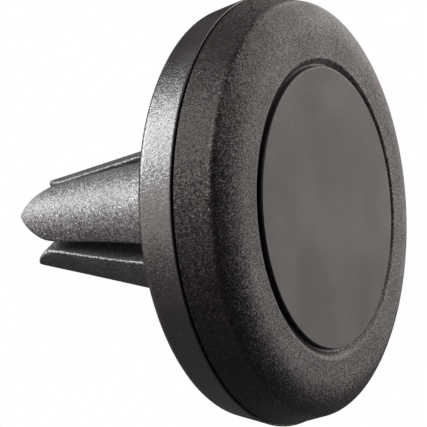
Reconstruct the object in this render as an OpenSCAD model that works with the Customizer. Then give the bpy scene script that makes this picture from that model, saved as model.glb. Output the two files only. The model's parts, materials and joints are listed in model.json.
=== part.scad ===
// Round magnetic phone mount that grips the blade of a car's air vent.
//
// Millimetres, +Z up. The Y axis runs through the middle of the head and of the
// clip: the phone face looks along -Y and the clip's four prongs point along +Y.
// The origin is on that axis at the floor of the crossed slots between the
// prongs, where the front edge of a vent blade stops. The wide slot is level
// and takes a blade that lies flat; the narrow slot is upright.

/* [Head] */
// Outside diameter of the head, at the seam between its two shells
head_d = 45; // [45:0.5:48]
// Diameter where the front rim's flat ends and its crown begins
flat_d = 34.6; // [33.6:0.1:35.6]
// Diameter at the corner where the crown meets the side wall
corner_d = 42.8; // [42.4:0.1:43.2]
// Depth of that corner behind the flat rim
corner_depth = 1.4; // [1.2:0.1:1.6]
// Depth of the front cover, from its flat rim to the seam
cover_depth = 5; // [4.9:0.1:5.6]
// Depth of the rear cover's side wall, from the seam to its back edge
ring_depth = 3.75; // [3.75:0.05:4.3]
// Diameter of the rear cover at its back edge
ring_back_d = 43.4; // [42.8:0.1:44]
// Distance from the flat front rim to the floor of the slots
head_to_slots = 16.5; // [16.5:0.1:18]

/* [Face pad] */
// Diameter of the round face pad
pad_d = 28.9; // [28:0.1:29]
// Width of the open groove around the pad
groove_w = 0.95; // [0.6:0.05:1.1]
// Depth of the round recess that holds the pad
recess_depth = 0.9; // [0.8:0.05:1]
// Height of the pad above the flat rim
pad_proud = 0.1; // [0.05:0.05:0.2]

/* [Magnets] */
// Number of magnets in the ring
magnet_count = 6; // [5:1:6]
// Diameter of one magnet
magnet_d = 8; // [6:0.5:8]
// Thickness of one magnet
magnet_t = 3; // [2.5:0.1:3]
// Diameter of the circle through the magnets' centres
magnet_circle_d = 23; // [22.5:0.1:23.5]

/* [Clip] */
// Half the clip's width where the prongs start
clip_root_half = 8.25; // [8:0.05:8.6]
// How much the half width shrinks for each millimetre towards the tips
clip_taper = 0.177; // [0.16:0.001:0.18]
// Roundness of the clip's section: 2 is a circle, larger is squarer
clip_square = 2.7; // [2.4:0.1:3]
// Length of a prong, from the floor of the slots to its tip
prong_length = 20.2; // [19:0.1:20.2]
// Half the height of the level slot at its floor
level_slot_half = 1.22; // [1.1:0.01:1.3]
// Half the height of the level slot at its narrowest, before the mouth
level_throat_half = 0.64; // [0.5:0.01:0.8]
// Half the width of the upright slot at its floor
upright_slot_half = 1.0; // [0.8:0.01:1.1]
// Half the width of the upright slot at its narrowest, before the mouth
upright_throat_half = 0.22; // [0.2:0.01:0.4]
// Distance from the floor of the slots to the throat, where the mouth opens
throat_y = 15.2; // [14:0.1:16]
// How fast the prong ends curve away from the slots, per square millimetre
mouth_curve = 0.125; // [0.11:0.001:0.13]

/* [Swivel] */
// Shank diameter of the swivel screw
screw_d = 3; // [2.6:0.1:3]
// Radial running clearance between the screw and its bush
running_gap = 0.06; // [0.03:0.01:0.08]
// Largest outward swing of a prong, in degrees
prong_swing = 6; // [4:0.5:6]

/* [Hidden] */
$fn = 96;
head_r = head_d / 2;
flat_r = flat_d / 2;
corner_r = corner_d / 2;
crown_power = 2.5;
ring_back_r = ring_back_d / 2;
pad_r = pad_d / 2;
recess_r = pad_r + groove_w;

// Planes along Y, from the phone face towards the clip
face_y = -head_to_slots;
pad_front_y = face_y - pad_proud;
seam_y = face_y + cover_depth;
ring_edge_y = seam_y + ring_depth;
recess_y = face_y + recess_depth;
front_wall = 1.2;
cavity_y = recess_y + front_wall;
seam_gap = 0.15;
seam_step = 0.2;

// Adhesive, cushion, magnet carrier and yoke
adhesive_t = 0.3;
cushion_t = 0.5;
carrier_y = cavity_y + cushion_t;
carrier_t = magnet_t + 0.2;
yoke_y = carrier_y + carrier_t;
yoke_t = 1;
boss_y = yoke_y + yoke_t;
cavity_r = 19.9;
tongue_r = 21;
tongue_length = 1.5;
tongue_gap = 0.06;
cushion_r = 17.5;
carrier_r = cavity_r - 0.2;
yoke_r = cavity_r - 0.4;
centre_hole_r = 4.6;
magnet_gap = 0.05;

// Rear cover
edge_round = 0.9;
back_y = ring_edge_y + edge_round;
rear_wall = 1.4;
rear_floor_y = back_y - rear_wall;
dome_rise = 0.35;
collar_r = 7.4;
collar_height = 1.65;
collar_y = back_y + collar_height;
inner_ring_r = 20.1;

// Screws that clamp the yoke plate
yoke_screw_count = 3;
yoke_screw_circle_r = 17.3;
yoke_screw_r = 1;
yoke_screw_head_r = 1.9;
yoke_screw_head_t = 1.1;
yoke_screw_length = 2.7;
boss_r = 2;
drive_slot_w = 0.5;
drive_slot_depth = 0.45;

// Swivel: flanged bush, two washers, screw and threaded insert
bush_r = 2.7;
bush_flange_r = 4.2;
bush_flange_t = 0.3;
stack_gap = 0.05;
washer_y = rear_floor_y - bush_flange_t - stack_gap;
washer_r = 4;
washer_t = 0.35;
washer_hole_r = screw_d / 2 + 0.1;
wave_y = washer_y - washer_t - stack_gap;
wave_height = 0.1;
wave_t = 0.25;
wave_count = 3;
screw_head_y = wave_y - wave_t - 2 * wave_height - stack_gap;
screw_head_r = 3.2;
screw_head_t = 1.2;
insert_r = 2.4;
insert_y = -4.6;
insert_end_y = -1;
insert_grooves = 16;
thread_gap = 0.02;

// Clip hub and its sleeve
hub_gap = 0.1;
hub_y = collar_y + hub_gap;
hub_flange_r = 6.2;
hub_flange_t = 1;
hub_post_r = 4.6;
hub_key_w = 2.4;
hub_key_reach = 5.8;
hub_key_end_y = -1.2;
hub_end_y = -0.8;
sleeve_flange_r = 9.5;
sleeve_flange_t = 1.1;
sleeve_chamfer = 0.3;

// Prongs: each swings about a line across its own quarter
root_gap = 0.3;
hinge_u = 4.35;
core_w = 3;
core_t = 0.9;
core_y = 0.4;
core_end_y = 15;
arc_steps = 14;
long_steps = 18;
hub_steps = 64;

// The quarter that each prong fills, as the signs of X and Z
QUARTERS = [
    ["upper_right", 1, 1],
    ["upper_left", -1, 1],
    ["lower_left", -1, -1],
    ["lower_right", 1, -1]
];

// Half width of the clip's section at y
function clip_half(y) = clip_root_half - clip_taper * y;

// How far a prong's slot faces have curved away at y, past the throat
function mouth(y, start) = mouth_curve * pow(max(0, y - start), 2);

// Half height of the level slot and half width of the upright slot at y
function level_half(y) =
    let (s = min(1, y / throat_y))
    level_slot_half - (level_slot_half - level_throat_half) * s * s + mouth(y, throat_y + 0.3);
function upright_half(y) =
    let (s = min(1, y / throat_y))
    upright_slot_half - (upright_slot_half - upright_throat_half) * s + mouth(y, throat_y - 0.2);

// A point of the rounded square section of half width h, at the angle a
function section_point(h, a, y) = [
    sign(cos(a)) * h * pow(abs(cos(a)), 2 / clip_square),
    y,
    sign(sin(a)) * h * pow(abs(sin(a)), 2 / clip_square)
];

// One closed ring of a prong at y: its inner corner, then its outer arc
function prong_ring(y) =
    let (
        h = clip_half(y),
        gx = upright_half(y),
        gz = level_half(y),
        low = asin(pow(gz / h, clip_square / 2)),
        high = acos(pow(gx / h, clip_square / 2))
    )
    concat(
        [[gx, y, gz]],
        [for (i = [0 : arc_steps]) section_point(h, low + (high - low) * i / arc_steps, y)]
    );

// One closed ring of the hub sleeve at y
function hub_ring(y) = [for (i = [0 : hub_steps - 1]) section_point(clip_half(y), 360 * i / hub_steps, y)];

// Turns a shape that stands on +Z so that it runs along +Y, from the plane y
module along_y(y = 0) {
    translate([0, y, 0])
        rotate([-90, 0, 0])
            children();
}

// A disc or tube along Y
module disc(y, length, r, hole_r = 0) {
    along_y(y)
        difference() {
            cylinder(h = length, r = r);
            if (hole_r > 0)
                translate([0, 0, -1])
                    cylinder(h = length + 2, r = hole_r);
        }
}

// A turned solid from points [radius, y]
module turned(points) {
    along_y()
        rotate_extrude()
            polygon(points);
}

// Copies a shape to equally spaced places on a circle about the Y axis
module around_y(count, radius, start = 0) {
    for (i = [0 : count - 1])
        rotate([0, start + 360 * i / count, 0])
            translate([radius, 0, 0])
                children();
}

// A closed solid through rings of equally many points, in order of rising y
module loft(rings) {
    n = len(rings[0]);
    m = len(rings);
    sides = [
        for (k = [0 : m - 2], i = [0 : n - 1])
            let (a = k * n + i, b = k * n + (i + 1) % n)
            each [[a, b, b + n], [a, b + n, a + n]]
    ];
    first = [for (i = [n - 1 : -1 : 0]) i];
    last = [for (i = [0 : n - 1]) (m - 1) * n + i];
    polyhedron(points = [for (r = rings) each r], faces = concat(sides, [first, last]));
}

// Cross slots for a screwdriver, cut into a screw head from the plane y
module drive_cut(y, reach) {
    for (turn = [0, 90])
        rotate([0, turn, 0])
            translate([-reach, y - 1, -drive_slot_w / 2])
                cube([2 * reach, drive_slot_depth + 1, drive_slot_w]);
}

module face_pad() {
    bevel = 0.2;
    end_y = recess_y - adhesive_t;
    color([0.2, 0.2, 0.2])
        turned([
            [0, pad_front_y],
            [pad_r - bevel, pad_front_y],
            [pad_r, pad_front_y + bevel],
            [pad_r, end_y],
            [0, end_y]
        ]);
}

module pad_adhesive() {
    margin = 0.25;
    color([0.85, 0.83, 0.76])
        disc(recess_y - adhesive_t, adhesive_t, pad_r - margin);
}

// Crown of the front rim, ever steeper from its flat to the corner
function crown_curve(steps) = [
    for (i = [0 : steps])
        let (s = i / steps)
        [flat_r + (corner_r - flat_r) * s, face_y + corner_depth * pow(s, crown_power)]
];

// Small round lip at the edge of the pad's recess
function lip_curve(r, steps) = [
    for (i = [0 : steps - 1])
        let (a = 90 * i / steps)
        [recess_r + r - r * cos(a), face_y + r - r * sin(a)]
];

module front_cover() {
    lip_r = 0.35;
    color([0.16, 0.16, 0.16])
        turned(concat(
            [[0, recess_y], [recess_r, recess_y]],
            lip_curve(lip_r, 5),
            [[recess_r + lip_r, face_y]],
            crown_curve(16),
            [
                [corner_r + 0.18, face_y + corner_depth + 0.35],
                [head_r - seam_step, seam_y],
                [tongue_r, seam_y],
                [tongue_r, seam_y + tongue_length],
                [cavity_r, seam_y + tongue_length],
                [cavity_r, cavity_y],
                [0, cavity_y]
            ]
        ));
}

module cushion_disc() {
    color([0.3, 0.3, 0.32])
        disc(cavity_y, cushion_t, cushion_r);
}

module magnet_carrier() {
    screw_pocket_r = yoke_screw_head_r + 0.2;
    color([0.75, 0.75, 0.72])
        difference() {
            disc(carrier_y, carrier_t, carrier_r, centre_hole_r);
            around_y(magnet_count, magnet_circle_d / 2)
                disc(carrier_y - 1, carrier_t + 2, magnet_d / 2 + magnet_gap);
            around_y(yoke_screw_count, yoke_screw_circle_r, 30)
                disc(carrier_y - 1, carrier_t + 2, screw_pocket_r);
        }
}

module magnet(i) {
    color([0.78, 0.78, 0.8])
        rotate([0, 360 * (i - 1) / magnet_count, 0])
            translate([magnet_circle_d / 2, 0, 0])
                disc(yoke_y - magnet_t, magnet_t, magnet_d / 2);
}

module yoke_plate() {
    color([0.62, 0.62, 0.64])
        difference() {
            disc(yoke_y, yoke_t, yoke_r, centre_hole_r);
            around_y(yoke_screw_count, yoke_screw_circle_r, 30)
                disc(yoke_y - 1, yoke_t + 2, yoke_screw_r + 0.1);
        }
}

module yoke_screws() {
    color([0.7, 0.7, 0.72])
        around_y(yoke_screw_count, yoke_screw_circle_r, 30)
            difference() {
                union() {
                    disc(yoke_y - yoke_screw_head_t, yoke_screw_head_t, yoke_screw_head_r);
                    disc(yoke_y, yoke_screw_length, yoke_screw_r);
                }
                drive_cut(yoke_y - yoke_screw_head_t, 1.3);
            }
}

// Round back edge of the rear cover, from the side wall to the back
function back_edge_curve(steps) = [
    for (i = [0 : steps])
        let (a = 90 * i / steps)
        [ring_back_r - edge_round + edge_round * cos(a), ring_edge_y + edge_round * sin(a)]
];

module rear_cover() {
    front_y = seam_y + seam_gap;
    step_y = seam_y + tongue_length + 0.1;
    color([0.33, 0.33, 0.34])
        difference() {
            union() {
                turned(concat(
                    [
                        [tongue_r + tongue_gap, front_y],
                        [head_r - 0.08, front_y],
                        [head_r, front_y + 0.08]
                    ],
                    back_edge_curve(8),
                    [
                        [collar_r + 0.5, back_y + dome_rise],
                        [collar_r, back_y + dome_rise + 0.3],
                        [collar_r, collar_y],
                        [0, collar_y],
                        [0, rear_floor_y],
                        [inner_ring_r, rear_floor_y],
                        [inner_ring_r, step_y],
                        [tongue_r + tongue_gap, step_y]
                    ]
                ));
                around_y(yoke_screw_count, yoke_screw_circle_r, 30)
                    disc(boss_y, rear_floor_y - boss_y + 0.2, boss_r);
            }
            around_y(yoke_screw_count, yoke_screw_circle_r, 30)
                disc(boss_y - 1, yoke_screw_length - yoke_t + 1.2, yoke_screw_r + thread_gap);
            disc(rear_floor_y - 1, collar_y - rear_floor_y + 2, bush_r);
        }
}

module swivel_bush() {
    bore_r = screw_d / 2 + running_gap;
    color([0.93, 0.92, 0.86])
        difference() {
            union() {
                disc(rear_floor_y - bush_flange_t, bush_flange_t, bush_flange_r);
                disc(rear_floor_y, collar_y - rear_floor_y, bush_r);
            }
            disc(rear_floor_y - 1, collar_y - rear_floor_y + 2, bore_r);
        }
}

module flat_washer() {
    color([0.72, 0.72, 0.74])
        disc(washer_y - washer_t, washer_t, washer_r, washer_hole_r);
}

// Ring of spring steel, bent into equal waves
module wave_washer() {
    steps = 48;
    inner_r = washer_hole_r + 0.1;
    middle_y = wave_y - wave_t / 2 - wave_height;
    function corner(r, a, side) =
        [r * cos(a), middle_y + wave_height * sin(wave_count * a) + side * wave_t / 2, r * sin(a)];
    function station(a) =
        [corner(inner_r, a, -1), corner(inner_r, a, 1), corner(washer_r, a, 1), corner(washer_r, a, -1)];
    faces = [
        for (k = [0 : steps - 1], i = [0 : 3])
            let (a = 4 * k + i, b = 4 * k + (i + 1) % 4, c = 4 * ((k + 1) % steps))
            each [[a, c + (i + 1) % 4, b], [a, c + i, c + (i + 1) % 4]]
    ];
    color([0.7, 0.7, 0.72])
        polyhedron(points = [for (k = [0 : steps - 1]) each station(360 * k / steps)], faces = faces);
}

module swivel_screw() {
    color([0.66, 0.66, 0.68])
        difference() {
            union() {
                disc(screw_head_y - screw_head_t, screw_head_t, screw_head_r);
                disc(screw_head_y, insert_end_y - 0.2 - screw_head_y, screw_d / 2);
            }
            drive_cut(screw_head_y - screw_head_t, 2.2);
        }
}

// Threaded brass insert with grooves along its outside
module hub_insert() {
    groove_r = 0.25;
    length = insert_end_y - insert_y;
    color([0.82, 0.66, 0.32])
        difference() {
            disc(insert_y, length, insert_r, screw_d / 2 + thread_gap);
            around_y(insert_grooves, insert_r + 0.1)
                disc(insert_y - 1, length + 2, groove_r);
        }
}

// Outside of the moulded hub core: a flange, a post and two crossed keys that
// stop it turning in the sleeve. A small allowance enlarges it for the sleeve.
module hub_form(allowance = 0) {
    key_y = hub_y + hub_flange_t / 2;
    disc(hub_y - allowance, hub_flange_t + 2 * allowance, hub_flange_r + allowance);
    disc(hub_y, hub_end_y - hub_y + allowance, hub_post_r + allowance);
    for (turn = [45, 135])
        rotate([0, turn, 0])
            translate([-hub_key_reach - allowance, key_y, -hub_key_w / 2 - allowance])
                cube([
                    2 * (hub_key_reach + allowance),
                    hub_key_end_y - key_y + allowance,
                    hub_key_w + 2 * allowance
                ]);
}

module clip_hub() {
    color([0.24, 0.24, 0.25])
        difference() {
            hub_form();
            disc(hub_y - 1, insert_end_y - hub_y + 1, insert_r);
        }
}

// Moulded skin over the hub: a round foot that blends into the rounded square
module hub_sleeve() {
    rise_y = hub_y + sleeve_flange_t;
    color([0.2, 0.2, 0.2])
        difference() {
            union() {
                turned([
                    [0, hub_y],
                    [sleeve_flange_r - sleeve_chamfer, hub_y],
                    [sleeve_flange_r, hub_y + sleeve_chamfer],
                    [sleeve_flange_r, rise_y - sleeve_chamfer],
                    [sleeve_flange_r - sleeve_chamfer, rise_y],
                    [0, rise_y]
                ]);
                loft([hub_ring(hub_y + 0.5), hub_ring(0)]);
            }
            hub_form(thread_gap);
        }
}

// Turns the X axis into the outward diagonal of the upper right quarter
module on_diagonal() {
    rotate([0, -45, 0])
        children();
}

module prong_core_form(allowance = 0) {
    on_diagonal()
        translate([hinge_u - core_t / 2 - allowance, core_y - allowance, -core_w / 2 - allowance])
            cube([core_t + 2 * allowance, core_end_y - core_y + 2 * allowance, core_w + 2 * allowance]);
}

// Wedge that clears the prong's outer root from the hub as the prong swings out
module root_relief() {
    reach = 12;
    on_diagonal()
        translate([hinge_u, root_gap, 0])
            rotate([0, 0, prong_swing + 1])
                translate([0, -5, -reach])
                    cube([reach, 5, 2 * reach]);
}

// Places a shape made for the upper right quarter in any quarter
module in_quarter(q) {
    mirror([q[1] < 0 ? 1 : 0, 0, 0])
        mirror([0, 0, q[2] < 0 ? 1 : 0])
            children();
}

module prong(q) {
    color([0.2, 0.2, 0.2])
        in_quarter(q)
            difference() {
                loft([
                    for (k = [0 : long_steps])
                        prong_ring(root_gap + (prong_length - root_gap) * k / long_steps)
                ]);
                prong_core_form(thread_gap);
                root_relief();
            }
}

module prong_core(q) {
    color([0.6, 0.6, 0.62])
        in_quarter(q)
            prong_core_form();
}

face_pad();
pad_adhesive();
front_cover();
cushion_disc();
magnet_carrier();
for (i = [1 : magnet_count]) magnet(i);
yoke_plate();
yoke_screws();
rear_cover();
swivel_bush();
swivel_screw();
wave_washer();
flat_washer();
hub_insert();
clip_hub();
hub_sleeve();
for (q = QUARTERS) prong(q);
for (q = QUARTERS) prong_core(q);
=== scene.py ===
"""Looks of a round magnetic phone mount with a four-pronged clip for an air-vent blade.

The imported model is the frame. Its outside pieces are built again here as smooth,
rounded meshes with moulded finishes, and its inside pieces keep their own shape and
get a finish. Lengths are metres, or millimetres times MM.
"""

import json
import logging
import math
from collections.abc import Callable, Iterable
from dataclasses import dataclass, field, replace
from enum import Enum

import bmesh
import bpy
import numpy as np
from mathutils import Matrix, Vector


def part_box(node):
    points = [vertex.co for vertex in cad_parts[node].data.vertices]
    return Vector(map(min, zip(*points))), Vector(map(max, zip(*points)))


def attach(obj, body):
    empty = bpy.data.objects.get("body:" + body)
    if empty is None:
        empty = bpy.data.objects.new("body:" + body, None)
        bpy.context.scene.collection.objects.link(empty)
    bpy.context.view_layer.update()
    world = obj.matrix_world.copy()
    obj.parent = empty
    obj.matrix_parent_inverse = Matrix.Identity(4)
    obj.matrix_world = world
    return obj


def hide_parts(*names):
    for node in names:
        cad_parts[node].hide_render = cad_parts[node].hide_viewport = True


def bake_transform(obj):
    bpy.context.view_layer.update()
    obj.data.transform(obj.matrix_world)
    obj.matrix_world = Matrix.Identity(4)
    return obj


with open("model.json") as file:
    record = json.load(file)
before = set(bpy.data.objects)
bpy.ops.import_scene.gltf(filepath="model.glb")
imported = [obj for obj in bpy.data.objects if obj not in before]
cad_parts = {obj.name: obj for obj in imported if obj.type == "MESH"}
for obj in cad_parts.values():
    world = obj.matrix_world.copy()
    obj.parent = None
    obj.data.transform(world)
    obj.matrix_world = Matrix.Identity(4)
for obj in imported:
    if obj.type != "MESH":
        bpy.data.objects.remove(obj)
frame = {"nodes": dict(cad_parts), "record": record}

MM = 0.001
EDGE = "edge"
WELD = 1e-6
HALVINGS = 50
WHITE = (1.0, 1.0, 1.0, 1.0)
WARM = (1.0, 0.925, 0.905)
COOL = (0.97, 1.0, 0.995)
LOG = logging.getLogger("phone_mount")


class Body(Enum):
    """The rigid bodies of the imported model."""

    HEAD = "head"
    CLIP = "clip"


class Quarter(Enum):
    """The four prongs, by the signs of X and Z in the quarter that each fills."""

    UPPER_RIGHT = (1, 1)
    UPPER_LEFT = (-1, 1)
    LOWER_LEFT = (-1, -1)
    LOWER_RIGHT = (1, -1)


# ---------------- node graphs


@dataclass
class Graph:
    """A shader or geometry node tree with short calls for adding nodes and joining them."""

    tree: bpy.types.NodeTree

    def add(self, kind: str, inputs: dict | None = None, **settings) -> bpy.types.Node:
        """Adds a node.

        Args:
            kind: The node's type name.
            inputs: Values or sockets for its inputs, by name or number.
            **settings: Attributes to set on the node before its inputs.

        Returns:
            The new node.
        """
        node = self.tree.nodes.new(kind)
        for name, value in settings.items():
            setattr(node, name, value)
        for key, value in (inputs or {}).items():
            if isinstance(value, bpy.types.NodeSocket):
                self.tree.links.new(value, node.inputs[key])
            else:
                node.inputs[key].default_value = value
        return node

    def math(self, operation: str, *values) -> bpy.types.NodeSocket:
        """Adds a math node.

        Args:
            operation: The math node's operation.
            *values: Numbers or sockets, in the order of its inputs.

        Returns:
            The result's socket.
        """
        inputs = dict(enumerate(values))
        return self.add("ShaderNodeMath", inputs, operation=operation).outputs[0]

    def vector(self, operation: str, *values, **named) -> bpy.types.NodeSocket:
        """Adds a vector math node.

        Args:
            operation: The vector math node's operation.
            *values: Vectors or sockets, in the order of its inputs.
            **named: Values for inputs that have a name of their own.

        Returns:
            The result's socket.
        """
        inputs = {**dict(enumerate(values)), **named}
        return self.add("ShaderNodeVectorMath", inputs, operation=operation).outputs[0]

    def noise(
        self,
        scale: float | bpy.types.NodeSocket,
        at: bpy.types.NodeSocket | None = None,
        **inputs: float,
    ) -> bpy.types.NodeSocket:
        """Adds a noise texture.

        Args:
            scale: Its scale.
            at: Socket of the place, if not the object's own coordinates.
            **inputs: Values for its other inputs.

        Returns:
            The socket of its value.
        """
        if at is None:
            at = self.add("ShaderNodeTexCoord").outputs["Object"]
        return self.add("ShaderNodeTexNoise", {"Vector": at, "Scale": scale, **inputs}).outputs[0]

    def socket(
        self, name: str, kind: str, direction: str, default: float | None = None
    ) -> None:
        """Declares an input or output of a group.

        Args:
            name: The socket's name.
            kind: The socket's type, such as NodeSocketFloat.
            direction: INPUT or OUTPUT.
            default: Its default value, for an input.
        """
        item = self.tree.interface.new_socket(name=name, in_out=direction, socket_type=kind)
        if default is not None:
            item.default_value = default

    def by_ray(self, cast: bpy.types.Node, seen: bpy.types.Node) -> bpy.types.NodeSocket:
        """Shows one shader to the camera and lights the scene with another.

        Args:
            cast: The shader that lights the scene.
            seen: The shader that the camera sees.

        Returns:
            The mixed shader's socket.
        """
        camera = self.add("ShaderNodeLightPath").outputs["Is Camera Ray"]
        inputs = {0: camera, 1: cast.outputs[0], 2: seen.outputs[0]}
        return self.add("ShaderNodeMixShader", inputs).outputs[0]


# ---------------- shader effects


class Effects:
    """Shader effects that several finishes share, each built once as a node group."""

    SPARKLE_POWER = 5.0
    PEBBLE_SCALE = 0.45

    _groups: dict[str, bpy.types.NodeTree] = {}

    @classmethod
    def use(cls, graph: Graph, name: str, inputs: dict[str, float] | None = None) -> bpy.types.Node:
        """Adds an effect to a material, and builds its group at the first use.

        Args:
            graph: The material's graph.
            name: One of grain, polish or mottle.
            inputs: Values for the effect's inputs.

        Returns:
            The group's node.
        """
        if name not in cls._groups:
            cls._groups[name] = getattr(cls, f"_build_{name}")()
        return graph.add("ShaderNodeGroup", inputs, node_tree=cls._groups[name])

    @staticmethod
    def _start(name: str, inputs: dict[str, float], outputs: tuple[str, ...]) -> tuple:
        """Makes an empty group with number sockets.

        Args:
            name: The group's name.
            inputs: Its inputs and their default values.
            outputs: Its outputs.

        Returns:
            The graph, the group's input node and its output node.
        """
        graph = Graph(bpy.data.node_groups.new(name, "ShaderNodeTree"))
        for label, default in inputs.items():
            graph.socket(label, "NodeSocketFloat", "INPUT", default)
        for label in outputs:
            graph.socket(label, "NodeSocketFloat", "OUTPUT")
        return graph, graph.add("NodeGroupInput"), graph.add("NodeGroupOutput")

    @classmethod
    def _build_grain(cls) -> bpy.types.NodeTree:
        """Builds mould grain: a random tone per grain whose rare bright flecks are painted glints,
        1 on average, a pebbled height and tilted facets.

        Returns:
            The shader node group.
        """
        graph, given, out = cls._start(
            "Moulded grain",
            {"Grains per metre": 7000.0, "Stretch": 1.0, "Tilt": 0.1},
            ("Painted glints", "Height"),
        )
        graph.socket("Normal", "NodeSocketVector", "OUTPUT")
        per_metre = given.outputs["Grains per metre"]
        place = graph.add("ShaderNodeTexCoord").outputs["Object"]
        stretch = graph.add("ShaderNodeCombineXYZ", {0: 1.0, 1: given.outputs["Stretch"], 2: 1.0})
        at = graph.vector("MULTIPLY", place, stretch.outputs[0])
        facet = graph.add("ShaderNodeTexVoronoi", {"Vector": at, "Scale": per_metre}, feature="F1")
        coarse = graph.math("MULTIPLY", per_metre, cls.PEBBLE_SCALE)
        pebble = graph.noise(coarse, at, Detail=3.0, Roughness=0.65)
        split = graph.add("ShaderNodeSeparateXYZ", {0: facet.outputs["Color"]})
        # Rare bright grain cells, lighter in colour: painted glints.
        rare = graph.math("POWER", split.outputs[0], cls.SPARKLE_POWER)
        glint_flecks = graph.math("MULTIPLY", rare, cls.SPARKLE_POWER + 1.0)
        twice, less_one = (2.0, 2.0, 2.0), (-1.0, -1.0, -1.0)
        lean = graph.vector("MULTIPLY_ADD", facet.outputs["Color"], twice, less_one)
        lean = graph.vector("SCALE", lean, Scale=given.outputs["Tilt"])
        true = graph.add("ShaderNodeNewGeometry").outputs["Normal"]
        tilted = graph.vector("NORMALIZE", graph.vector("ADD", true, lean))
        for label, socket in (("Painted glints", glint_flecks), ("Height", pebble), ("Normal", tilted)):
            graph.tree.links.new(socket, out.inputs[label])
        return graph.tree

    @classmethod
    def _build_mottle(cls) -> bpy.types.NodeTree:
        """Builds soft uneven patches, as handling and moulding leave on a plain face.

        Returns:
            The shader node group.
        """
        graph, given, out = cls._start("Mottle", {"Patches per metre": 200.0}, ("Value",))
        cloud = graph.noise(given.outputs["Patches per metre"], Detail=4.0, Roughness=0.55)
        limits = {"Value": cloud, "From Min": 0.3, "From Max": 0.7}
        soft = graph.add("ShaderNodeMapRange", limits, interpolation_type="SMOOTHSTEP")
        graph.tree.links.new(soft.outputs[0], out.inputs["Value"])
        return graph.tree

    @classmethod
    def _build_polish(cls) -> bpy.types.NodeTree:
        """Builds a mask of the rounded edges: the mesh's edge attribute, broken up a little. It
        makes them smoother, and lighter in colour as a painted highlight.

        Returns:
            The shader node group.
        """
        graph, given, out = cls._start("Edge polish and painted highlight", {"Breaks per metre": 1500.0}, ("Mask",))
        edge = graph.add("ShaderNodeAttribute", attribute_name=EDGE)
        wear = graph.noise(given.outputs["Breaks per metre"], Detail=2.0)
        limits = {"Value": wear, "From Min": 0.3, "From Max": 0.6, "To Min": 0.45}
        broken = graph.add("ShaderNodeMapRange", limits)
        mask = graph.math("MULTIPLY", edge.outputs["Fac"], broken.outputs[0])
        graph.tree.links.new(mask, out.inputs["Mask"])
        return graph.tree


# ---------------- finishes


@dataclass(frozen=True)
class MouldedFinish:
    """Moulded plastic or rubber: a grain whose rare bright flecks are painted glints, soft patches,
    and rounded edges that are smoother and painted lighter as a highlight.
    """

    name: str
    base: tuple[float, float, float]
    grain: float
    rough: float
    specular: float = 0.5
    ior: float = 1.5
    # Strength of the grain tone, whose rare bright flecks are painted glints.
    contrast: float = 0.3
    tilt: float = 0.1
    pebble: float = 0.0
    stretch: float = 1.0
    mottle: float = 0.1
    patch: float = 5.0 * MM
    polish: float = 0.3
    # Colour gain on rounded edges: a painted highlight.
    edge_highlight_gain: float = 1.5

    ROUGH_SWING = 0.08

    def build(self) -> bpy.types.Material:
        """Builds the material.

        Returns:
            The procedural material.
        """
        material = bpy.data.materials.new(self.name)
        material.use_nodes = True
        graph = Graph(material.node_tree)
        shader = graph.tree.nodes["Principled BSDF"]
        shader.inputs["Specular IOR Level"].default_value = self.specular
        shader.inputs["IOR"].default_value = self.ior
        scale = {"Grains per metre": 1.0 / self.grain}
        grain = Effects.use(graph, "grain", {**scale, "Stretch": self.stretch, "Tilt": self.tilt})
        patches = Effects.use(graph, "mottle", {"Patches per metre": 1.0 / self.patch})
        cloud = patches.outputs["Value"]
        # Mask of the rounded edges: lower roughness, and lighter colour as a painted highlight.
        edge_wear_and_highlight = Effects.use(graph, "polish").outputs["Mask"]

        patch = graph.math("MULTIPLY_ADD", cloud, 2 * self.mottle, 1.0 - self.mottle)
        glint_flecks = grain.outputs["Painted glints"]
        # Grain tone in the base colour: partly random tone, partly painted glints.
        spark = graph.math("MULTIPLY_ADD", glint_flecks, self.contrast, 1.0 - self.contrast)
        # Rounded edges painted lighter: a painted highlight.
        painted_edge_highlight = graph.math("MULTIPLY_ADD", edge_wear_and_highlight, self.edge_highlight_gain - 1.0, 1.0)
        tone = graph.math("MULTIPLY", graph.math("MULTIPLY", patch, spark), painted_edge_highlight)
        toned = graph.vector("SCALE", self.base, Scale=tone)
        least = self.rough - self.ROUGH_SWING / 2
        rough = graph.math("MULTIPLY_ADD", cloud, self.ROUGH_SWING, least)
        rough = graph.math("MULTIPLY_ADD", edge_wear_and_highlight, -self.polish * self.rough, rough)
        normal = grain.outputs["Normal"]
        if self.pebble:
            height = {"Distance": self.pebble, "Height": grain.outputs["Height"]}
            normal = graph.add("ShaderNodeBump", {**height, "Normal": normal}).outputs[0]
        for label, socket in (("Base Color", toned), ("Roughness", rough), ("Normal", normal)):
            graph.tree.links.new(socket, shader.inputs[label])
        return material


@dataclass(frozen=True)
class MetalFinish:
    """Plated or turned metal with fine scratches."""

    name: str
    base: tuple[float, float, float]
    rough: float
    scratch: float = 0.12
    per_metre: float = 4000.0
    stretch: float = 0.1

    def build(self) -> bpy.types.Material:
        """Builds the material.

        Returns:
            The procedural material.
        """
        material = bpy.data.materials.new(self.name)
        material.use_nodes = True
        graph = Graph(material.node_tree)
        shader = graph.tree.nodes["Principled BSDF"]
        shader.inputs["Metallic"].default_value = 1.0
        shader.inputs["Base Color"].default_value = (*self.base, 1.0)
        lines = {"Grains per metre": self.per_metre, "Stretch": self.stretch}
        grain = Effects.use(graph, "grain", lines)
        rough = graph.math("MULTIPLY_ADD", grain.outputs["Height"], self.scratch, self.rough)
        graph.tree.links.new(rough, shader.inputs["Roughness"])
        return material


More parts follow.
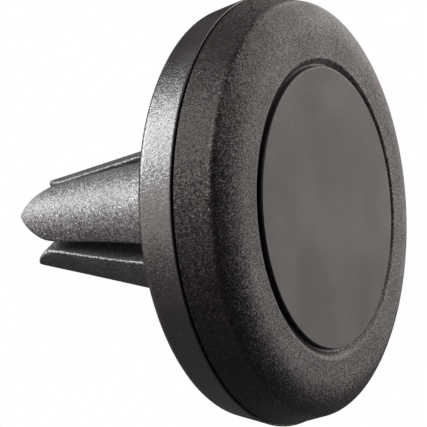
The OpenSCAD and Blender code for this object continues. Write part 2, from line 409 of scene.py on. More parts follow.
class Finishes:
    """Every finish of the mount, by the model's material slot."""

    ALL = {
        "pad_rubber": MouldedFinish(
            "Smooth matt rubber", (0.036, 0.0332, 0.0325), 0.2 * MM, 0.5,
            contrast=0.02, tilt=0.015, mottle=0.06, patch=7 * MM, edge_highlight_gain=1.0,
        ),
        "cover_plastic": MouldedFinish(
            "Sparkling grained plastic", (0.0165, 0.0152, 0.0147), 0.1 * MM, 0.44,
            specular=0.44, contrast=0.45, tilt=0.24, pebble=0.01 * MM, edge_highlight_gain=1.1,
        ),
        "ring_plastic": MouldedFinish(
            "Satin leather-grained plastic", (0.027, 0.0255, 0.025), 0.11 * MM, 0.33,
            specular=0.56, contrast=0.06, tilt=0.07, pebble=0.03 * MM, stretch=0.6, polish=0.2,
            edge_highlight_gain=1.6,
        ),
        "clip_plastic": MouldedFinish(
            "Coarse sparkling plastic", (0.022, 0.021, 0.0206), 0.11 * MM, 0.5,
            specular=0.9, ior=1.75, contrast=0.5, tilt=0.3, pebble=0.01 * MM, polish=0.1,
            edge_highlight_gain=1.15,
        ),
        "hub_plastic": MouldedFinish("Plain black moulding", (0.02, 0.02, 0.021), 0.3 * MM, 0.5),
        "carrier_plastic": MouldedFinish(
            "Pale moulding", (0.55, 0.55, 0.52), 0.3 * MM, 0.5, contrast=0.04, tilt=0.02,
        ),
        "bush_plastic": MouldedFinish(
            "Natural nylon", (0.8, 0.79, 0.72), 0.3 * MM, 0.4, contrast=0.03, tilt=0.01,
        ),
        "adhesive": MouldedFinish(
            "Adhesive film", (0.62, 0.6, 0.52), 0.4 * MM, 0.3, contrast=0.1, tilt=0.05,
        ),
        "foam": MouldedFinish(
            "Open-cell foam", (0.07, 0.07, 0.075), 0.25 * MM, 0.9,
            contrast=0.6, tilt=0.3, pebble=0.08 * MM,
        ),
        "magnet_nickel": MetalFinish("Nickel plate", (0.7, 0.69, 0.66), 0.18),
        "steel": MetalFinish("Zinc-plated steel", (0.58, 0.59, 0.6), 0.34),
        "spring_steel": MetalFinish("Tempered spring steel", (0.4, 0.41, 0.43), 0.3),
        "brass": MetalFinish("Turned brass", (0.72, 0.53, 0.22), 0.26),
    }

    _made: dict[str, bpy.types.Material] = {}

    @classmethod
    def material(cls, slot: str) -> bpy.types.Material:
        """The material of a slot, built at its first use.

        Args:
            slot: The model's material slot.

        Returns:
            The material.
        """
        if slot not in cls._made:
            cls._made[slot] = cls.ALL[slot].build()
        return cls._made[slot]


# ---------------- meshes


@dataclass(frozen=True)
class Corner:
    """A corner of a turned outline, in millimetres, with its rounding."""

    r: float
    y: float
    round: float = 0.0


@dataclass
class Outline:
    """An outline in the plane of radius and Y, with rounded corners.

    An open one starts and ends on the axis. The spacing is the longest stretch between
    points, in millimetres.
    """

    corners: list[Corner]
    closed: bool
    spacing: float = 0.5

    ARC_STEPS = 6
    GUARD_SHARE = 0.6
    GUARD_LIMIT = 0.15

    def points(self) -> np.ndarray:
        """Works out the points.

        Returns:
            Rows of radius, Y (both in metres) and edge weight.
        """
        raw = []
        count = len(self.corners)
        for i, corner in enumerate(self.corners):
            here = np.array([corner.r, corner.y])
            if corner.round <= 0:
                raw.append((*here, 0.0))
                continue
            sides = (self.corners[(i + turn) % count] for turn in (-1, 1))
            before, after = (np.array([side.r, side.y]) for side in sides)
            raw.extend(self._arc(here, before, after, corner.round))
        if self.closed:
            raw.append(raw[0])
        filled = [raw[0]]
        for a, b in zip(raw, raw[1:]):
            gap = math.dist(a[:2], b[:2])
            steps = max(1, math.ceil(gap / self.spacing))
            for k in range(1, steps + 1):
                t = k / steps
                filled.append(tuple(a[j] + (b[j] - a[j]) * t for j in range(3)))
        rows = np.array(filled)
        rows[:, :2] *= MM
        return rows

    @classmethod
    def _arc(
        cls, here: np.ndarray, before: np.ndarray, after: np.ndarray, radius: float
    ) -> list[tuple[float, ...]]:
        """Rounds one corner, with a guard point on each side.

        Args:
            here: The corner.
            before: The corner before it.
            after: The corner after it.
            radius: The rounding, in millimetres.

        Returns:
            Points with their edge weights.
        """
        a = (before - here) / np.linalg.norm(before - here)
        b = (after - here) / np.linalg.norm(after - here)
        half = math.acos(max(-1.0, min(1.0, float(a @ b)))) / 2
        reach = radius / math.tan(half)
        middle = here + (a + b) / np.linalg.norm(a + b) * radius / math.sin(half)
        start, end = here + a * reach, here + b * reach
        turn_a, turn_b = start - middle, end - middle
        sweep = math.acos(max(-1.0, min(1.0, float(turn_a @ turn_b) / radius**2)))
        side = turn_b - turn_a * math.cos(sweep)
        side = side / np.linalg.norm(side) * radius
        guard = min(cls.GUARD_SHARE * radius, cls.GUARD_LIMIT)
        rows = [(*(start + a * guard), 0.0)]
        for k in range(cls.ARC_STEPS + 1):
            angle = sweep * k / cls.ARC_STEPS
            point = middle + turn_a * math.cos(angle) + side * math.sin(angle)
            rows.append((*point, 1.0))
        rows.append((*(end + b * guard), 0.0))
        return rows


class Turning:
    """Geometry nodes that turn an outline about the Y axis into a closed skin."""

    _tree: bpy.types.NodeTree | None = None

    @staticmethod
    def _build() -> bpy.types.NodeTree:
        """Builds the group: a grid whose rows follow the outline, wrapped round the axis.

        Returns:
            The geometry node group.
        """
        graph = Graph(bpy.data.node_groups.new("Turn about Y", "GeometryNodeTree"))
        for label, kind, default in (
            ("Geometry", "Geometry", None),
            ("Outline points", "Int", 8),
            ("Steps around", "Int", 96),
            ("Finish", "Material", None),
        ):
            graph.socket(label, f"NodeSocket{kind}", "INPUT", default)
        graph.socket("Geometry", "NodeSocketGeometry", "OUTPUT")
        given, out = graph.add("NodeGroupInput"), graph.add("NodeGroupOutput")
        points, around = given.outputs["Outline points"], given.outputs["Steps around"]
        columns = graph.math("ADD", around, 1.0)
        grid = graph.add("GeometryNodeMeshGrid", {"Vertices X": columns, "Vertices Y": points})
        index = graph.add("GeometryNodeInputIndex").outputs[0]
        column = graph.math("FLOOR", graph.math("DIVIDE", graph.math("ADD", index, 0.5), points))
        row = graph.math("SUBTRACT", index, graph.math("MULTIPLY", column, points))
        here = graph.add("GeometryNodeInputPosition").outputs[0]
        edge = graph.add("GeometryNodeInputNamedAttribute", {"Name": EDGE}, data_type="FLOAT")
        line = {"Geometry": given.outputs["Geometry"], "Index": row}
        place, weight = (
            graph.add("GeometryNodeSampleIndex", {**line, "Value": value}, data_type=kind)
            for value, kind in ((here, "FLOAT_VECTOR"), (edge.outputs[0], "FLOAT"))
        )
        turn = graph.math("MULTIPLY", graph.math("DIVIDE", column, around), math.tau)
        placing = {"Vector": place.outputs[0], "Angle": turn}
        wrapped = graph.add("ShaderNodeVectorRotate", placing, rotation_type="Y_AXIS")
        shape = grid.outputs["Mesh"]
        for kind, inputs in (
            ("SetPosition", {"Position": wrapped.outputs[0]}),
            ("StoreNamedAttribute", {"Name": EDGE, "Value": weight.outputs[0]}),
            ("MergeByDistance", {"Distance": WELD}),
            ("SetShadeSmooth", {}),
            ("RealizeInstances", {}),
            ("SetMaterial", {"Material": given.outputs["Finish"]}),
        ):
            node = graph.add(f"GeometryNode{kind}", {"Geometry": shape, **inputs})
            shape = node.outputs[0]
        graph.tree.links.new(shape, out.inputs["Geometry"])
        return graph.tree

    @classmethod
    def turn(
        cls, name: str, outline: Outline, finish: bpy.types.Material, steps: int
    ) -> bpy.types.Object:
        """Turns an outline into a piece.

        Args:
            name: The piece's name.
            outline: The outline to turn.
            finish: The piece's material.
            steps: Steps around the axis.

        Returns:
            The piece, as a plain mesh object.
        """
        rows = outline.points()
        line = bpy.data.meshes.new(name + "_outline")
        links = [(i, i + 1) for i in range(len(rows) - 1)]
        line.from_pydata([(r, y, 0.0) for r, y, _ in rows], links, [])
        Pieces.mark_edges(line, rows[:, 2])
        maker = Pieces.link(bpy.data.objects.new(name + "_maker", line))
        if cls._tree is None:
            cls._tree = cls._build()
        modifier = maker.modifiers.new("turn", "NODES")
        modifier.node_group = cls._tree
        settings = {"Outline points": len(rows), "Steps around": steps, "Finish": finish}
        for item in cls._tree.interface.items_tree:
            if item.in_out == "INPUT" and item.name in settings:
                modifier[item.identifier] = settings[item.name]
        piece = Pieces.from_evaluated(maker, name)
        Pieces.face_outwards(piece.data)
        return piece


class Pieces:
    """Making, closing and handing over pieces."""

    @staticmethod
    def link(piece: bpy.types.Object) -> bpy.types.Object:
        """Links an object into the scene.

        Args:
            piece: The object.

        Returns:
            The same object.
        """
        bpy.context.scene.collection.objects.link(piece)
        return piece

    @classmethod
    def from_evaluated(cls, maker: bpy.types.Object, name: str) -> bpy.types.Object:
        """Turns a maker's modified shape into a plain mesh and removes the maker.

        Args:
            maker: The object that carries the modifier.
            name: The new piece's name.

        Returns:
            The piece.
        """
        bpy.context.view_layer.update()
        graph = bpy.context.evaluated_depsgraph_get()
        mesh = bpy.data.meshes.new_from_object(maker.evaluated_get(graph), depsgraph=graph)
        mesh.name = name
        maker.modifiers.clear()
        bpy.data.objects.remove(maker)
        return cls.link(bpy.data.objects.new(name, mesh))

    @staticmethod
    def face_outwards(mesh: bpy.types.Mesh) -> None:
        """Turns a closed mesh's faces outwards.

        Args:
            mesh: The mesh.
        """
        shape = bmesh.new()
        shape.from_mesh(mesh)
        bmesh.ops.recalc_face_normals(shape, faces=shape.faces)
        shape.to_mesh(mesh)
        shape.free()

    @staticmethod
    def mark_edges(mesh: bpy.types.Mesh, weights: np.ndarray) -> None:
        """Writes how far each point of a mesh lies on a rounded edge.

        Args:
            mesh: The mesh.
            weights: From 0, on a plain face, to 1, on an edge.
        """
        layer = mesh.attributes.new(EDGE, "FLOAT", "POINT")
        layer.data.foreach_set("value", np.asarray(weights, np.float32))

    @classmethod
    def from_rings(
        cls, name: str, rings: np.ndarray, edges: np.ndarray, finish: bpy.types.Material
    ) -> bpy.types.Object:
        """Skins a stack of closed rings, whose first and last close to a point at their middle.

        Args:
            name: The piece's name.
            rings: Points in metres, one row of equally many points for each ring.
            edges: Edge weight of each point.
            finish: The piece's material.

        Returns:
            The piece.
        """
        count, steps = rings.shape[:2]
        points = [tuple(p) for p in rings.reshape(-1, 3)]
        weights = list(edges.reshape(-1))
        faces = []
        for k in range(count - 1):
            for i in range(steps):
                j = (i + 1) % steps
                here, above = k * steps, (k + 1) * steps
                faces.append((here + i, here + j, above + j, above + i))
        for ring in (0, count - 1):
            middle, first = len(points), ring * steps
            points.append(tuple(rings[ring].mean(axis=0)))
            weights.append(float(edges[ring].mean()))
            faces.extend((first + i, first + (i + 1) % steps, middle) for i in range(steps))
        mesh = bpy.data.meshes.new(name)
        mesh.from_pydata(points, [], faces)
        cls.mark_edges(mesh, np.array(weights))
        mesh.shade_smooth()
        mesh.materials.append(finish)
        cls.face_outwards(mesh)
        return cls.link(bpy.data.objects.new(name, mesh))

    @staticmethod
    def hand_over(piece: bpy.types.Object, node: str, slot: str) -> None:
        """Hides the node that a piece stands for, and logs the piece's faces and the node.

        Args:
            piece: The piece.
            node: The model's node that it replaces.
            slot: The record's material slot; not used.
        """
        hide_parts(node)
        LOG.info("%s: %d faces, for %s", piece.name, len(piece.data.polygons), node)


# ---------------- sub-assemblies


def span(node: str, axis: int) -> tuple[float, float]:
    """Reads how far a node reaches along an axis.

    Args:
        node: The node's name.
        axis: 0 for X, 1 for Y or 2 for Z.

    Returns:
        Its lowest and highest coordinates in millimetres.
    """
    lowest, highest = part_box(node)
    return lowest[axis] / MM, highest[axis] / MM


def read(node: str, axis: int, end: int, extra: float = 0.0) -> float:
    """Declares a size that is read from the model.

    Args:
        node: The node's name.
        axis: 0 for X, 1 for Y or 2 for Z.
        end: 0 for the lowest coordinate or 1 for the highest.
        extra: What is added to it.

    Returns:
        The dataclass field.
    """
    return field(default_factory=lambda: span(node, axis)[end] + extra)


def furthest(
    near: float | np.ndarray, far: float | np.ndarray, holds: Callable
) -> float | np.ndarray:
    """Finds the last places where a test holds, by halving the stretch again and again.

    Args:
        near: Place or places where it holds.
        far: Place or places where it doesn't.
        holds: The test, which takes a place and says whether it holds there.

    Returns:
        The furthest place or places found where it holds.
    """
    for _ in range(HALVINGS):
        middle = (near + far) / 2
        good = holds(middle)
        near, far = np.where(good, middle, near), np.where(good, far, middle)
    return near


@dataclass
class Head:
    """The puck: face pad, front cover and rear cover. Sizes in millimetres."""

    head_r: float = read("rear_cover", 0, 1)
    cover_r: float = read("front_cover", 0, 1)
    face_y: float = read("front_cover", 1, 0)
    tongue_y: float = read("front_cover", 1, 1)
    pad_r: float = read("face_pad", 0, 1, 0.08)
    pad_y: float = read("face_pad", 1, 0)
    recess_y: float = read("pad_adhesive", 1, 1)
    cavity_y: float = read("cushion_disc", 1, 0)
    ring_y: float = read("rear_cover", 1, 0)
    collar_y: float = read("rear_cover", 1, 1)
    bush_r: float = 2.7
    pad_round: float = 0.14
    pad_spacing: float = 0.8
    groove: float = 1.12
    groove_depth: float = 0.45
    groove_wall: float = 0.04
    groove_floor: float = 0.3
    groove_round: float = 0.2
    lip: float = 0.2
    lip_round: float = 0.5
    flat_r: float = 17.3
    corner_r: float = 21.4
    corner_depth: float = 1.4
    corner_round: float = 1.0
    crown_power: float = 2.5
    crown_steps: int = 22
    crown_cut: int = 2
    seam_gap: float = 0.15
    seam_round: float = 0.08
    cavity_r: float = 19.9
    tongue_r: float = 21.0
    tongue_round: float = 0.15
    tongue_end_gap: float = 0.1
    tongue_side_gap: float = 0.06
    ring_back_r: float = 21.7
    ring_round: float = 0.12
    edge_round: float = 0.9
    rear_wall: float = 1.4
    rear_cavity_gap: float = 0.2
    dome_rise: float = 0.35
    collar_r: float = 7.4
    collar_height: float = 1.65
    collar_foot: float = 0.5
    collar_round: float = 0.15
    sharp: float = 0.02
    fine: float = 0.05
    broken: float = 0.08
    fillet: float = 0.3
    steps: int = 288

    def build(self) -> None:
        """Builds and dresses the head's outside pieces."""
        self.build_pad()
        self.build_front()
        self.build_rear()

    def turn(self, node: str, outline: Outline, slot: str) -> None:
        """Turns an outline into the piece that stands for a node of the head.

        Args:
            node: The node.
            outline: The piece's outline.
            slot: The node's material slot.
        """
        piece = Turning.turn(f"{node}_skin", outline, Finishes.material(slot), self.steps)
        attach(piece, Body.HEAD.value)
        Pieces.hand_over(piece, node, slot)

    def build_pad(self) -> None:
        """Builds the face pad: a flat disc with a fine rounded edge."""
        end_y = span("face_pad", 1)[1]
        corners = [
            Corner(0.0, self.pad_y),
            Corner(self.pad_r, self.pad_y, self.pad_round),
            Corner(self.pad_r, end_y, self.fine),
            Corner(0.0, end_y),
        ]
        outline = Outline(corners, closed=False, spacing=self.pad_spacing)
        self.turn("face_pad", outline, "pad_rubber")

    def crown(self) -> list[Corner]:
        """Crowned rim, ever steeper from the flat to the corner.

        Returns:
            Corners from the flat to the outer corner, which is rounded.
        """
        rows = []
        for share in np.arange(self.crown_steps + 1) / self.crown_steps:
            r = self.flat_r + (self.corner_r - self.flat_r) * share
            rows.append(Corner(r, self.face_y + self.corner_depth * share**self.crown_power))
        rows[-1] = replace(rows[-1], round=self.corner_round)
        del rows[-1 - self.crown_cut:-1]
        return rows

    def build_front(self) -> None:
        """Builds the front cover with its recess, round-over and tongue."""
        wall_r = self.pad_r + self.groove_wall
        recess_r = self.pad_r + self.groove
        groove_y = self.face_y + self.groove_depth
        seam_y = self.ring_y - self.seam_gap
        corners = [
            Corner(0.0, self.recess_y),
            Corner(wall_r, self.recess_y, self.sharp),
            Corner(wall_r, groove_y, self.sharp),
            Corner(self.pad_r + self.groove_floor, groove_y, self.groove_round),
            Corner(recess_r - self.lip, self.face_y, self.lip_round),
            *self.crown(),
            Corner(self.cover_r, seam_y, self.seam_round),
            Corner(self.tongue_r, seam_y),
            Corner(self.tongue_r, self.tongue_y, self.tongue_round),
            Corner(self.cavity_r, self.tongue_y, self.tongue_round),
            Corner(self.cavity_r, self.cavity_y, self.fillet),
            Corner(0.0, self.cavity_y),
        ]
        self.turn("front_cover", Outline(corners, closed=False), "cover_plastic")

    def build_rear(self) -> None:
        """Builds the rear cover: the side ring, the domed back and its collar."""
        back_y = self.collar_y - self.collar_height
        slope = (self.head_r - self.ring_back_r) / (back_y - self.edge_round - self.ring_y)
        step_y = self.tongue_y + self.tongue_end_gap
        floor_y = back_y - self.rear_wall
        inner_r = self.tongue_r + self.tongue_side_gap
        cavity_r = self.cavity_r + self.rear_cavity_gap
        corners = [
            Corner(inner_r, self.ring_y, self.fine),
            Corner(self.head_r, self.ring_y, self.ring_round),
            Corner(self.ring_back_r - slope * self.edge_round, back_y, self.edge_round),
            Corner(self.collar_r + self.collar_foot, back_y + self.dome_rise, self.fillet),
            Corner(self.collar_r, self.collar_y, self.collar_round),
            Corner(self.bush_r, self.collar_y, self.broken),
            Corner(self.bush_r, floor_y, self.fine),
            Corner(cavity_r, floor_y, self.fillet),
            Corner(cavity_r, step_y, self.fine),
            Corner(inner_r, step_y, self.fine),
        ]
        self.turn("rear_cover", Outline(corners, closed=True), "ring_plastic")


@dataclass
class Clip:
    """The hub and the four prongs, one moulding in look. Sizes in millimetres."""

    root_half: float = 8.2
    taper: float = 0.18
    square: tuple[float, float] = (2.75, 2.4)
    square_y: float = 20.0
    level: tuple[float, float] = (1.2, 0.62)
    upright: tuple[float, float] = (1.08, 0.1)
    throat_y: float = 15.2
    level_mouth: tuple[float, float] = (16.5, 0.15)
    upright_mouth: tuple[float, float] = (15.9, 0.16)
    edge_round: float = 0.22
    edge_reach: float = 2.5
    tip_round: float = 0.3
    tip_length: float = 4.0
    tip_gap: float = 1e-4
    heart_range: tuple[float, float] = (-2.0, 6.0)
    tip_range: float = 9.0
    reach_limit: float = 14.0
    floor_fillet: float = 0.7
    floor_steps: int = 8
    side_steps: int = 22
    outside_steps: int = 44
    flange_r: float = 9.5
    flange_end_y: float = -4.0
    foot_round: float = 0.3
    foot_steps: int = 6
    foot_shares: tuple[float, ...] = (0.9, 0.6, 0.3, 0.05)
    top_shares: tuple[float, ...] = (0.02, 0.2, 0.45, 0.7, 0.92)
    flare_lead: float = 0.3
    flare_end: float = 1.9
    flare_power: float = 2.2
    flare_steps: int = 20
    flare_edge: float = 0.4
    flare_edge_share: float = 0.2
    side_gap: float = 0.05
    flange_steps: int = 4
    neck_steps: int = 8
    hub_y: float = read("hub_sleeve", 1, 0)
    hinge_u: float = 4.35
    bend_length: float = 1.6
    stations: int = 72
    hub_steps: int = 160

    def build(self) -> None:
        """Builds and dresses the hub and the prongs."""
        self.build_hub()
        for quarter in Quarter:
            self.build_prong(quarter)

    def half(self, y: float) -> float:
        """Half width of the clip's rounded square.

        Args:
            y: The section's place.

        Returns:
            The half width.
        """
        return self.root_half - self.taper * y

    def power(self, y: float) -> float:
        """Power of the rounded square, which is rounder towards the tip.

        Args:
            y: The section's place.

        Returns:
            The power: 2 is a circle, and more is squarer.
        """
        share = min(1.0, max(0.0, y / self.square_y))
        return self.square[0] + (self.square[1] - self.square[0]) * share

    def openings(self, y: float) -> tuple[float, float]:
        """Half widths of the slots at y.

        Args:
            y: Distance from the slots' floor.

        Returns:
            Half width of the upright slot and half height of the level slot.
        """
        share = min(1.0, y / self.throat_y)
        upright = self.upright[0] - (self.upright[0] - self.upright[1]) * share
        upright += self.upright_mouth[1] * max(0.0, y - self.upright_mouth[0]) ** 2
        level = self.level[0] - (self.level[0] - self.level[1]) * share**2
        level += self.level_mouth[1] * max(0.0, y - self.level_mouth[0]) ** 2
        if y < self.floor_fillet:
            rise = (self.floor_fillet - y) / self.floor_fillet
            narrow = self.floor_fillet * (1 - math.sqrt(max(0.0, 1 - rise**2)))
            upright, level = upright - narrow, level - narrow
        return upright, level

    def rounding(self, y: float) -> float:
        """Rounding of a prong's long edges, larger towards the tip.

        Args:
            y: The section's place.

        Returns:
            The radius.
        """
        share = min(1.0, max(0.0, (y - self.throat_y) / self.tip_length))
        return self.edge_round + self.tip_round * share**2 * (3 - 2 * share)

    def depth(self, x: np.ndarray, z: np.ndarray, y: float) -> tuple[np.ndarray, np.ndarray]:
        """How far points lie inside a prong's rounded section.

        Args:
            x: X of the points.
            z: Z of the points.
            y: The section's place.

        Returns:
            Depth below the rounded surface, and the edge weight there.
        """
        gx, gz = self.openings(y)
        power = self.power(y)
        outside = (np.abs(x) ** power + np.abs(z) ** power) ** (1 / power)
        gaps = np.stack([x - gx, z - gz, self.half(y) - outside])
        radius = self.rounding(y)
        near = np.maximum(radius - gaps, 0.0)
        second = np.sort(near, axis=0)[1]
        edge = np.minimum(1.0, self.edge_reach * second / radius)
        return radius - np.sqrt((near**2).sum(axis=0)), edge

    def heart(self, y: float) -> tuple[float, float, float]:
        """Middle of the largest circle inside a prong's sharp section.

        Args:
            y: The section's place.

        Returns:
            X, Z and the circle's radius.
        """
        gx, gz = self.openings(y)
        power = self.power(y)

        def fits(d: float) -> bool:
            """Whether a circle of this radius clears the outside."""
            outside = (abs(gx + d) ** power + abs(gz + d) ** power) ** (1 / power)
            return self.half(y) - outside > d

        radius = float(furthest(*self.heart_range, fits))
        return gx + radius, gz + radius, radius

    def tip_y(self) -> float:
        """Finds where a prong's rounded section closes to a point.

        Returns:
            The tip's place.
        """
        share = 1 - 1 / math.sqrt(3)

        def is_open(y: float) -> bool:
            """Whether the rounded section still has an inside."""
            return self.heart(float(y))[2] > self.rounding(float(y)) * share

        return float(furthest(self.throat_y, self.throat_y + self.tip_range, is_open))

    def section(self, y: float) -> tuple[np.ndarray, np.ndarray]:
        """One closed ring of a prong in the upper right quarter.

        Args:
            y: The section's place.

        Returns:
            Points in millimetres and their edge weights.
        """
        gx, gz = self.openings(y)
        h, power = self.half(y), self.power(y)
        low_turn = math.asin(min(1.0, (gz / h) ** (power / 2)))
        high_turn = math.acos(min(1.0, (gx / h) ** (power / 2)))

        def arc(turn: np.ndarray) -> np.ndarray:
            """Points of the outside at the given turns."""
            across, up = np.cos(turn) ** (2 / power), np.sin(turn) ** (2 / power)
            return np.stack([h * across, h * up], 1)

        def eased(steps: int) -> np.ndarray:
            """Shares of a stretch, closer together at its ends, without the last."""
            return (1 - np.cos(np.pi * np.arange(steps) / steps)) / 2

        first, last = arc(np.array([low_turn])), arc(np.array([high_turn]))
        inner = np.array([[gx, gz]])
        share = eased(self.side_steps)[:, None]
        targets = np.vstack([
            inner + (first - inner) * share,
            arc(low_turn + (high_turn - low_turn) * eased(self.outside_steps)),
            last + (inner - last) * share,
        ])
        cx, cz, _ = self.heart(y)
        away = targets - np.array([cx, cz])
        away /= np.linalg.norm(away, axis=1)[:, None]
        across, up = away.T
        reach = furthest(
            np.zeros(len(away)),
            np.full(len(away), self.reach_limit),
            lambda d: self.depth(cx + d * across, cz + d * up, y)[0] > 0,
        )
        x, z = cx + reach * across, cz + reach * up
        return np.stack([x, np.full(len(x), y), z], 1), self.depth(x, z, y)[1]

    def build_prong(self, quarter: Quarter) -> None:
        """Builds one prong, which grows out of the hub at its root.

        Args:
            quarter: Which of the four it is.
        """
        tip = self.tip_y()
        share = np.linspace(0.0, 1.0, self.stations)
        places = tip * np.sin(share * math.pi / 2)
        floor = np.linspace(0.0, self.floor_fillet, self.floor_steps)[:-1]
        places = np.concatenate([floor, places[places > self.floor_fillet]])
        places[-1] = tip - self.tip_gap
        rings, weights = zip(*(self.section(float(y)) for y in places))
        sign_x, sign_z = quarter.value
        rings = np.array(rings) * MM * (sign_x, 1, sign_z)
        name = f"prong_{quarter.name.lower()}"
        finish = Finishes.material("clip_plastic")
        piece = Pieces.from_rings(name + "_skin", rings, np.array(weights), finish)
        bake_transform(piece)
        Pieces.hand_over(piece, name, "clip_plastic")

    def hub_ring(self, turns: np.ndarray, y: float, shrink: float, roundness: float) -> np.ndarray:
        """One closed ring of the hub.

        Args:
            turns: Angles about the Y axis.
            y: The ring's place.
            shrink: How far it lies inside the full section.
            roundness: From 0, the clip's rounded square, to 1, the flange's circle.

        Returns:
            Points in millimetres.
        """
        cos, sin = np.cos(turns), np.sin(turns)
        power = self.power(y)
        square = self.half(y) / (np.abs(cos) ** power + np.abs(sin) ** power) ** (1 / power)
        reach = square + (self.flange_r - square) * roundness - shrink
        return np.stack([reach * cos, np.full(len(turns), y), reach * sin], 1)

    def build_hub(self) -> None:
        """Builds the hub: a round foot that flows into the rounded square."""
        turns = math.tau * np.arange(self.hub_steps) / self.hub_steps
        foot = self.foot_round
        rest = self.flange_r - foot
        rows = [(self.hub_y, foot + rest * share, 1.0, 0.0) for share in self.foot_shares]
        for angle in np.linspace(math.pi / 2, 0.0, self.foot_steps + 1):
            in_y, in_r = foot * (1 - math.sin(angle)), foot * (1 - math.cos(angle))
            rows.append((self.hub_y + in_y, in_r, 1.0, 1.0))
        flare_y = self.flange_end_y - self.flare_lead
        blend_y = self.flange_end_y + self.flare_end
        side = np.linspace(self.hub_y + foot + self.side_gap, flare_y, self.flange_steps)
        rows += [(y, 0.0, 1.0, 0.0) for y in side]
        for share in np.linspace(0.0, 1.0, self.flare_steps)[1:]:
            edge = self.flare_edge * float(share < self.flare_edge_share)
            ease = (1 - share) ** self.flare_power
            rows.append((flare_y + (blend_y - flare_y) * share, 0.0, ease, edge))
        rows += [(y, 0.0, 0.0, 0.0) for y in np.linspace(blend_y, 0.0, self.neck_steps)[1:]]
        rows += [(0.0, self.root_half * share, 0.0, 0.0) for share in self.top_shares]
        rings = [self.hub_ring(turns, y, shrink, ease) for y, shrink, ease, _ in rows]
        weights = [np.full(len(turns), edge) for *_, edge in rows]
        finish = Finishes.material("clip_plastic")
        piece = Pieces.from_rings("hub_skin", np.array(rings) * MM, np.array(weights), finish)
        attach(piece, Body.CLIP.value)
        Pieces.hand_over(piece, "hub_sleeve", "clip_plastic")


class Inside:
    """The pieces that keep the model's own shape and only get a finish."""

    @staticmethod
    def build() -> None:
        """Dresses every node of the model, hidden or not."""
        slots = {row["node"]: row["material_slot"] for row in frame["record"]["subparts"]}
        for name, node in frame["nodes"].items():
            node.data.materials.clear()
            node.data.materials.append(Finishes.material(slots[name]))
            LOG.info("%s: finish %s", name, slots[name])


# ---------------- stage


def facing(right: Vector, up: Vector, back: Vector) -> Matrix:
    """Makes the turn of an object whose own axes point along three directions.

    Args:
        right: Where its X points.
        up: Where its Y points.
        back: Where its Z points.

    Returns:
        The matrix.
    """
    return Matrix((right, up, back)).transposed().to_4x4()


@dataclass(frozen=True)
class Viewpoint:
    """Where the camera stands, from the point that it looks at."""

    azimuth: float = -55.22
    elevation: float = 24.68
    roll: float = -19.49
    distance: float = 160.0 * MM
    aim: tuple[float, float, float] = (-1.288 * MM, -3.233 * MM, 0.812 * MM)
    lens: float = 126.46
    sensor: float = 36.0
    clip_start: float = 0.01

    def axes(self) -> tuple[Vector, Vector, Vector]:
        """Works out the camera's axes.

        Returns:
            Its right, up and backward directions.
        """
        az, el, roll = (math.radians(v) for v in (self.azimuth, self.elevation, self.roll))
        back = Vector((math.sin(az) * math.cos(el), -math.cos(az) * math.cos(el), math.sin(el)))
        right = Vector((math.cos(az), math.sin(az), 0.0))
        up = back.cross(right)
        turned = right * math.cos(roll) + up * math.sin(roll)
        return turned, back.cross(turned), back

    def build(self) -> None:
        """Makes the camera."""
        data = bpy.data.cameras.new("camera")
        data.sensor_width = self.sensor
        data.lens = self.lens
        data.clip_start = self.clip_start
        camera = Pieces.link(bpy.data.objects.new("camera", data))
        right, up, back = self.axes()
        camera.matrix_world = facing(right, up, back)
        camera.location = Vector(self.aim) + back * self.distance
        bpy.context.scene.camera = camera


@dataclass(frozen=True)
class Softbox:
    """A soft square light, placed by directions as the camera sees them. Sizes in metres."""

    name: str
    toward: tuple[float, float, float]
    side: float
    power: float
    tint: tuple[float, float, float] = WARM
    distance: float = 0.45

    def build(self, view: Viewpoint) -> None:
        """Makes the light, facing the mount.

        Args:
            view: The camera whose right, up and backward directions are used.
        """
        data = bpy.data.lights.new(self.name, "AREA")
        data.shape = "RECTANGLE"
        data.size = data.size_y = self.side
        data.energy = self.power
        data.color = self.tint
        lamp = Pieces.link(bpy.data.objects.new(self.name, data))
        right, up, back = view.axes()
        x, y, z = self.toward
        direction = (right * x + up * y + back * z).normalized()
        across = up.cross(direction).normalized()
        over = direction.cross(across)
        lamp.matrix_world = facing(across, over, direction)
        lamp.location = Vector(view.aim) + direction * self.distance


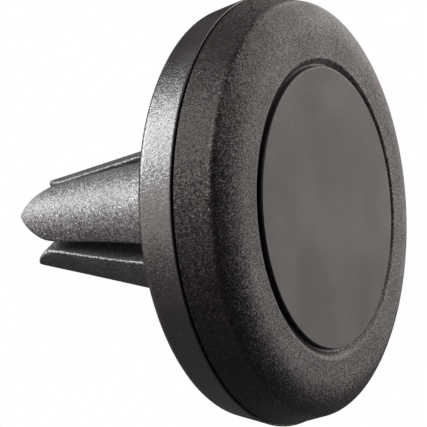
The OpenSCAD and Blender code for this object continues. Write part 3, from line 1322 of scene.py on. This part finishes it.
@dataclass(frozen=True)
class Studio:
    """Pale surroundings, a pale floor and soft lights. Sizes in metres."""

    ambient: float = 0.004
    floor_z: float = -0.3
    floor_size: float = 6.0
    floor_grey: float = 0.12
    lights: tuple[Softbox, ...] = (
        Softbox("left_strip", (-0.88, 0.42, -0.2), 0.18, 2.05, COOL),
        Softbox("left_fill", (-1.0, 0.02, 0.0), 0.25, 0.64),
        Softbox("upper_left_wash", (-0.55, 0.6, 0.55), 0.3, 1.8),
        Softbox("front_left_fill", (-0.7, 0.1, 0.7), 0.35, 0.42),
        Softbox("top_right_wash", (0.7, 0.7, 0.0), 0.35, 0.95),
        Softbox("right_fill", (0.98, 0.1, -0.1), 0.35, 0.48),
        Softbox("right_back_wash", (0.75, 0.1, -0.65), 0.35, 0.68),
        Softbox("upper_right_back", (0.45, 0.6, -0.65), 0.35, 0.62),
    )

    def build(self, view: Viewpoint) -> None:
        """Makes the world, the floor and the lights.

        Args:
            view: The camera that the lights are placed around.
        """
        self.build_world()
        self.build_floor()
        for light in self.lights:
            light.build(view)
        bpy.context.scene.view_settings.view_transform = "Standard"

    def build_world(self) -> None:
        """Makes plain surroundings: white to look at, dimmer as light."""
        world = bpy.data.worlds.new("studio")
        bpy.context.scene.world = world
        world.use_nodes = True
        graph = Graph(world.node_tree)
        graph.tree.nodes.clear()
        seen = graph.add("ShaderNodeBackground", {"Color": WHITE, "Strength": 1.0})
        cast = graph.add("ShaderNodeBackground", {"Color": WHITE, "Strength": self.ambient})
        graph.add("ShaderNodeOutputWorld", {0: graph.by_ray(cast, seen)})

    def build_floor(self) -> None:
        """Makes a wide floor well below the mount: white to look at, dimmer as light."""
        mesh = bpy.data.meshes.new("floor")
        side = self.floor_size / 2
        signs = ((-1, -1), (1, -1), (1, 1), (-1, 1))
        corners = [(x * side, y * side, self.floor_z) for x, y in signs]
        mesh.from_pydata(corners, [], [(0, 1, 2, 3)])
        material = bpy.data.materials.new("Pale floor")
        material.use_nodes = True
        graph = Graph(material.node_tree)
        graph.tree.nodes.clear()
        seen = graph.add("ShaderNodeEmission", {"Color": WHITE, "Strength": 1.0})
        grey = (self.floor_grey, self.floor_grey, self.floor_grey, 1.0)
        cast = graph.add("ShaderNodeBsdfDiffuse", {"Color": grey})
        graph.add("ShaderNodeOutputMaterial", {0: graph.by_ray(cast, seen)})
        mesh.materials.append(material)
        floor = Pieces.link(bpy.data.objects.new("floor", mesh))


def main() -> None:
    """Builds the mount and its studio."""
    logging.basicConfig(level=logging.INFO, format="%(message)s")
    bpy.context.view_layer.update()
    view = Viewpoint()
    view.build()
    Studio().build(view)
    Head().build()
    Clip().build()
    Inside.build()


if __name__ == "__main__":
    main()
